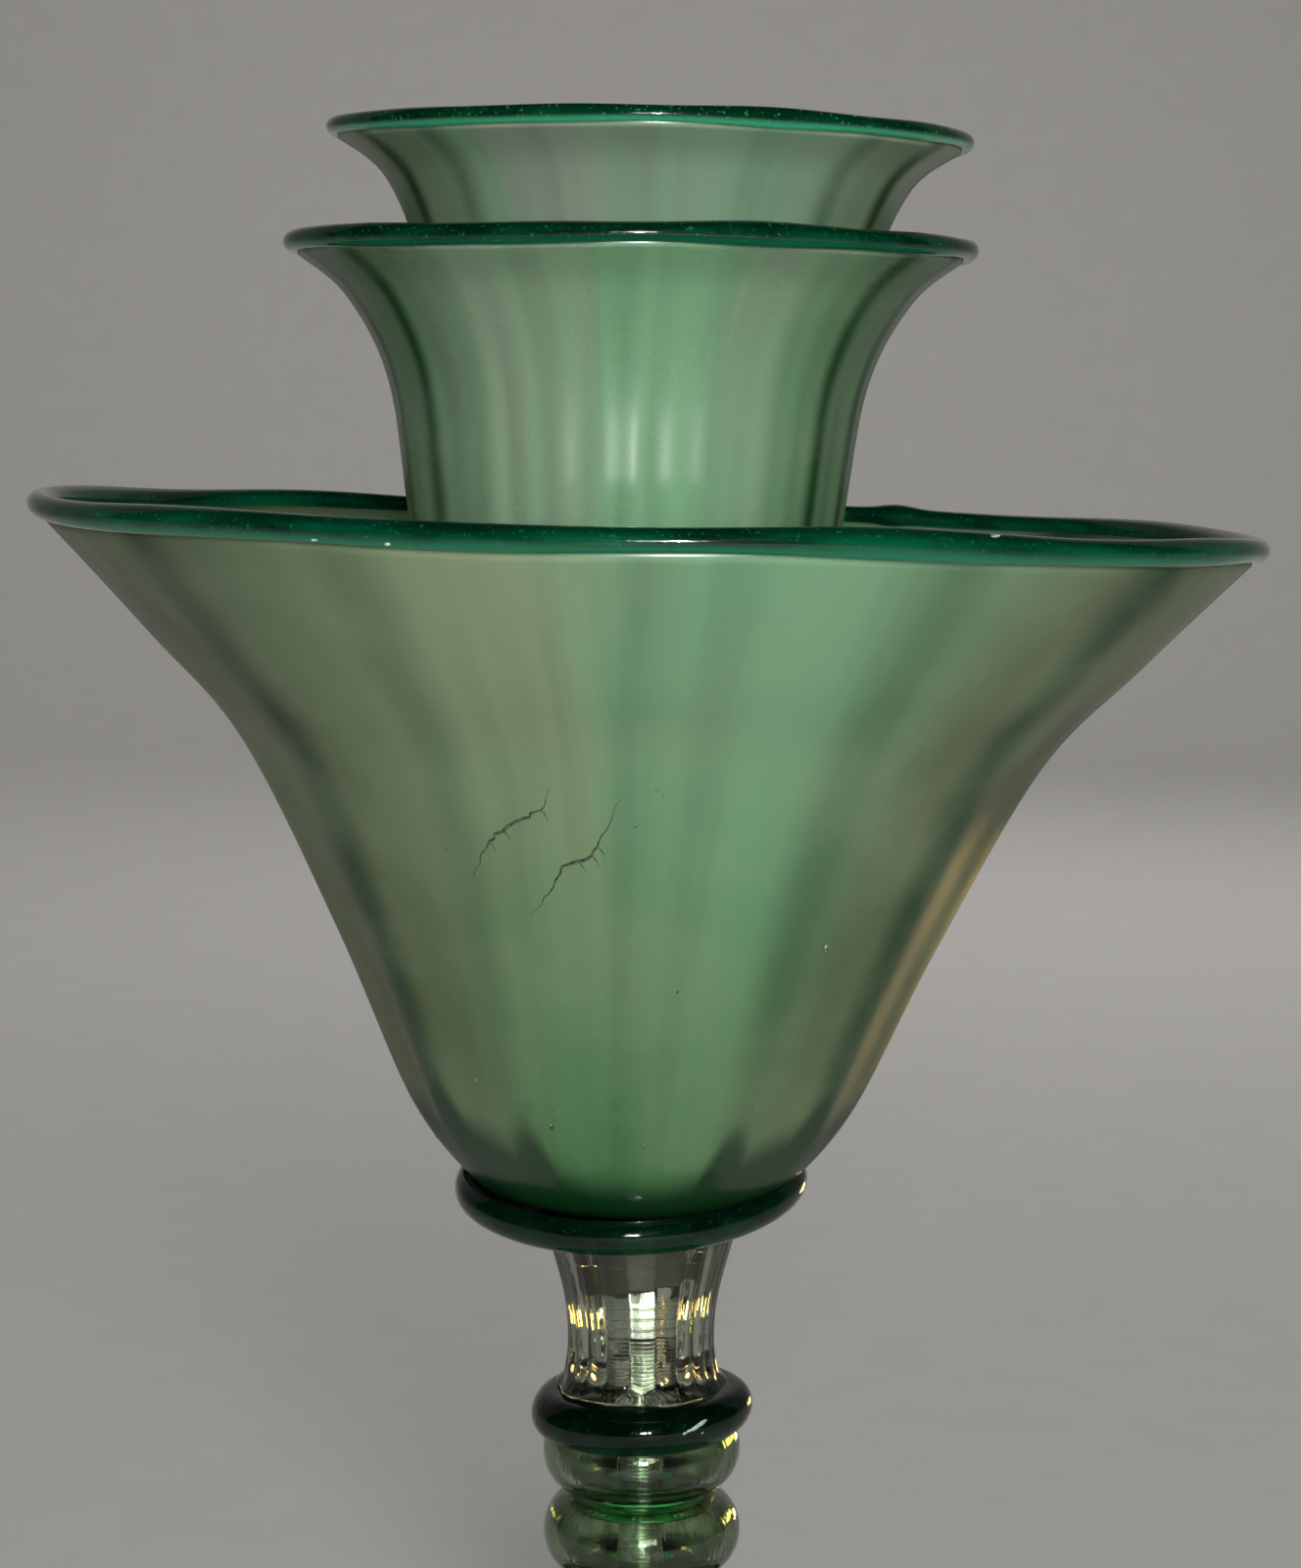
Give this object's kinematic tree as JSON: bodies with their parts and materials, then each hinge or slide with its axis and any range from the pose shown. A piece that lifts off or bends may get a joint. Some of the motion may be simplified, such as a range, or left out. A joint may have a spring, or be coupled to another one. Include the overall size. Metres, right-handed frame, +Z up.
{
  "type": "glass centrepiece",
  "caption": "Green glass table centrepiece: a funnel-shaped ribbed bowl on a knopped glass stem, with trumpet vases standing inside it, all with dark green lips.",
  "frame": {"origin": "on the table, under the middle of the foot", "axes": "+Z up along the tie rod, -Y towards the viewer, +X to the viewer's right, the side that the bowl leans to"},
  "size_m": [0.2744, 0.2746, 0.3833],
  "materials": {
    "satin_green_glass": "mould-blown green glass with soft ribs and a faint bloom",
    "deep_green_glass": "glossy dark emerald trailed glass",
    "clear_glass": "clear glass with a green cast, glossy",
    "steel": "bright threaded steel, slightly dulled",
    "black_rubber": "matt black rubber",
    "packing_ring": "soft green packing plastic"
  },
  "bodies": {
    "stand": {"foot": "clear_glass", "foot_rim": "deep_green_glass", "foot_collar": "deep_green_glass", "knop_lower": "clear_glass", "knop_middle": "clear_glass", "knop_upper": "clear_glass", "waist_collar": "deep_green_glass", "waist": "clear_glass", "waist_bush": "steel", "waist_plug": "black_rubber", "bowl_collar": "deep_green_glass", "bowl": "satin_green_glass", "bowl_rim": "deep_green_glass", "bowl_gasket": "black_rubber", "bowl_washer": "steel", "bowl_nut": "steel", "tie_rod": "steel", "base_gasket": "black_rubber", "base_washer": "steel", "base_nut": "steel", "seal_1": "packing_ring", "seal_2": "packing_ring", "seal_3": "packing_ring", "seal_4": "packing_ring", "seal_5": "packing_ring", "seal_6": "packing_ring"},
    "middle_vase": {"middle_vase": "satin_green_glass", "middle_rim": "deep_green_glass"},
    "top_vase": {"top_vase": "satin_green_glass", "top_rim": "deep_green_glass"}
  },
  "joints": [
    {"name": "middle_vase_lift", "type": "slide", "parent": "stand", "child": "middle_vase", "axis": [0, 0, 1], "range_m": [0, 0.17]},
    {"name": "top_vase_lift", "type": "slide", "parent": "middle_vase", "child": "top_vase", "axis": [0, 0, 1], "range_m": [0, 0.2]}
  ]
}
